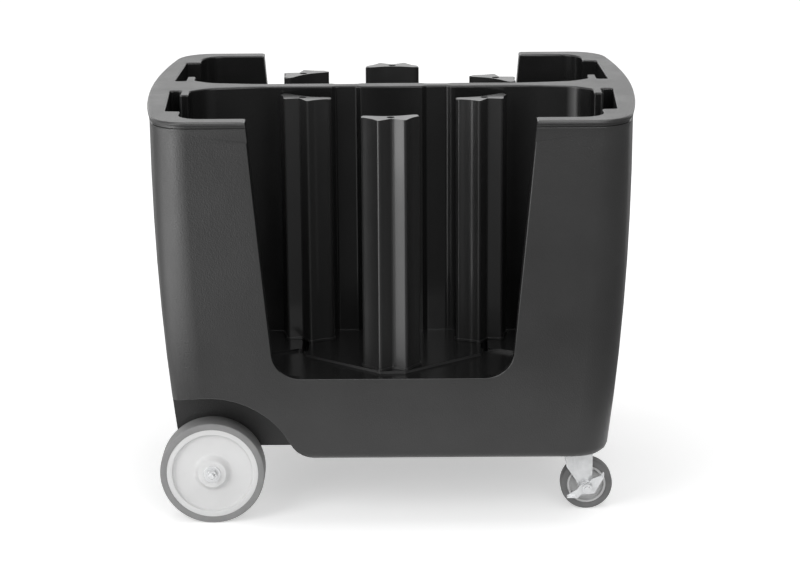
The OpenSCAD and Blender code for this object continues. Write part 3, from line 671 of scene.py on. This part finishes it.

# The glow that the camera sees rises between two distances from the cart's middle: painted shade on
# the floor near the cart
FLOOR_GLOW_SHADED_NEAR = 0.45
FLOOR_GLOW_FAR = 0.66
FLOOR_NEAR = 0.55
FLOOR_FAR = 1.9

# What glossy pieces see: a room brighter on one side, the floor and a bright strip on it
BRIGHT_SIDE = (-0.75, 0.6, 0.28)
DIM_SIDE_LEVEL = 0.1
BRIGHT_SIDE_LEVEL = 1.1
SIDE_RAMP = (-0.7, 0.7)
MIRRORED_FLOOR = (0.15, 0.4)
MIRRORED_NEAR = (0.8, 0)
MIRRORED_REACH = (0.72, 0.86)
STRIP_SIDE = (-0.86, -0.5, 0)
STRIP_EDGES = (0.68, 0.97)
STRIP_LEVEL = 2.4
STRIP_REACH = (1.0, 1.5)


def floor_sheet():
    bm = bmesh.new()
    bmesh.ops.create_grid(bm, x_segments=1, y_segments=1, size=FLOOR_HALF)
    mesh = bpy.data.meshes.new("floor")
    bm.to_mesh(mesh)
    bm.free()
    floor = bpy.data.objects.new("floor", mesh)
    bpy.context.scene.collection.objects.link(floor)
    return floor


def floor_mirrored(f, away):
    """How bright glossy pieces see the floor: bright beneath them, dim in front, with a strip."""
    bearing = f.node("VectorMath", operation="NORMALIZE")
    f.link(f.coords, bearing.inputs[0])
    side = f.along(f.coords, BRIGHT_SIDE)
    strip = f.along(bearing.outputs[0], STRIP_SIDE)
    round_about = f.ranged(side, *MIRRORED_FLOOR, -1.0, 1.0)
    under = f.ranged(away, *MIRRORED_NEAR, *MIRRORED_REACH)
    inside = f.ranged(strip, 0, STRIP_LEVEL, *STRIP_EDGES)
    beyond = f.ranged(away, 0, 1, *STRIP_REACH)
    base = f.joined("MAXIMUM", round_about, under)
    return f.joined("ADD", base, f.joined("MULTIPLY", inside, beyond))


def soft_floor():
    """A pale floor that shows white to the camera, keeps the shadow, has painted shade near the cart
    and is open from below.
    """
    floor = floor_sheet()
    f = Finish("floor", FLOOR_COLOUR, 0.9, specular=0.0)
    path = f.node("LightPath")
    distance = f.node("VectorMath", operation="LENGTH")
    f.link(f.coords, distance.inputs[0])
    away = distance.outputs["Value"]
    # Painted shade: the floor's glow to the camera is lower near the cart's middle.
    level = f.ranged(away, FLOOR_GLOW_SHADED_NEAR, FLOOR_GLOW_FAR, FLOOR_NEAR, FLOOR_FAR)
    lit = f.node("AddShader")
    f.link(f.shader.outputs[0], lit.inputs[0])
    f.link(f.glow("Emission", f.joined("MULTIPLY", f.seen_straight(path), level)), lit.inputs[1])
    mirrored = f.glow("Emission", floor_mirrored(f, away))
    above = f.either(path.outputs["Is Glossy Ray"], lit.outputs[0], mirrored)
    below = f.node("BsdfTransparent").outputs[0]
    both = f.either(f.node("NewGeometry").outputs["Backfacing"], above, below)
    f.link(both, f.tree.nodes["Material Output"].inputs["Surface"])
    dress(floor, f.material)


def white_world():
    """White behind the cart, and soft light that comes mostly from the left and from behind."""
    world = bpy.data.worlds.new("studio")
    world.use_nodes = True
    sky = Nodes(world.node_tree)
    path = sky.node("LightPath")
    side = sky.along(sky.node("TexCoord").outputs["Generated"], BRIGHT_SIDE)
    level = sky.ranged(side, DIM_SIDE_LEVEL, BRIGHT_SIDE_LEVEL, *SIDE_RAMP,
                       interpolation_type="SMOOTHSTEP")
    lit = sky.glow("Background", ROOM_LIGHT)
    mirrored = sky.glow("Background", level)
    backdrop = sky.tree.nodes["Background"]
    backdrop.inputs["Color"].default_value = WHITE
    backdrop.inputs["Strength"].default_value = 1.0
    light = sky.either(path.outputs["Is Glossy Ray"], lit, mirrored)
    shown = sky.either(sky.seen_straight(path), light, backdrop.outputs[0])
    sky.link(shown, sky.tree.nodes["World Output"].inputs["Surface"])
    bpy.context.scene.world = world


def lamp(name, place, size, power):
    """A soft lamp turned to the cart's middle. The camera doesn't see it."""
    light = bpy.data.lights.new(name, "AREA")
    light.shape = "RECTANGLE"
    light.size, light.size_y = size
    light.energy = power
    obj = bpy.data.objects.new(name, light)
    obj.location = place
    aim = Vector(LAMP_TARGET) - Vector(place)
    obj.rotation_euler = aim.to_track_quat("-Z", "Y").to_euler()
    obj.visible_camera = False
    bpy.context.scene.collection.objects.link(obj)


def studio():
    lamp("key", (-2.4, -3.0, 2.6), (2.0, 2.6), 50)
    lamp("left_box", (-2.4, -1.9, 0.7), (0.9, 1.4), 12)
    lamp("fill", (1.2, -3.8, 2.4), (2.4, 2.4), 48)
    lamp("top", (0, -0.3, 3.4), (3.0, 1.4), 34)


# The photograph's view: where the lens stood, how far it looked down and its focal length
PHOTO_WIDTH = 800
FOCAL_PIXELS = 2455.5
SENSOR = 36.0
LENS_PLACE = (0.0146, -4.7539, 1.7206)
LOOK_DOWN = math.radians(15.527)
ROLL = math.radians(-0.344)
LEVEL_LENS = math.radians(90)
CLIP_END = 200


def photo_camera():
    data = bpy.data.cameras.new("photo_view")
    data.sensor_width = SENSOR
    data.sensor_fit = "HORIZONTAL"
    data.lens = SENSOR * FOCAL_PIXELS / PHOTO_WIDTH
    data.clip_end = CLIP_END
    camera = bpy.data.objects.new("photo_view", data)
    tilt = Euler((LEVEL_LENS - LOOK_DOWN, 0, 0)).to_matrix().to_4x4()
    roll = Matrix.Rotation(ROLL, 4, "Z")
    camera.matrix_world = Matrix.Translation(LENS_PLACE) @ tilt @ roll
    bpy.context.scene.collection.objects.link(camera)
    bpy.context.scene.camera = camera


photo_camera()
soft_floor()
white_world()
studio()
bpy.context.scene.view_settings.view_transform = "Standard"
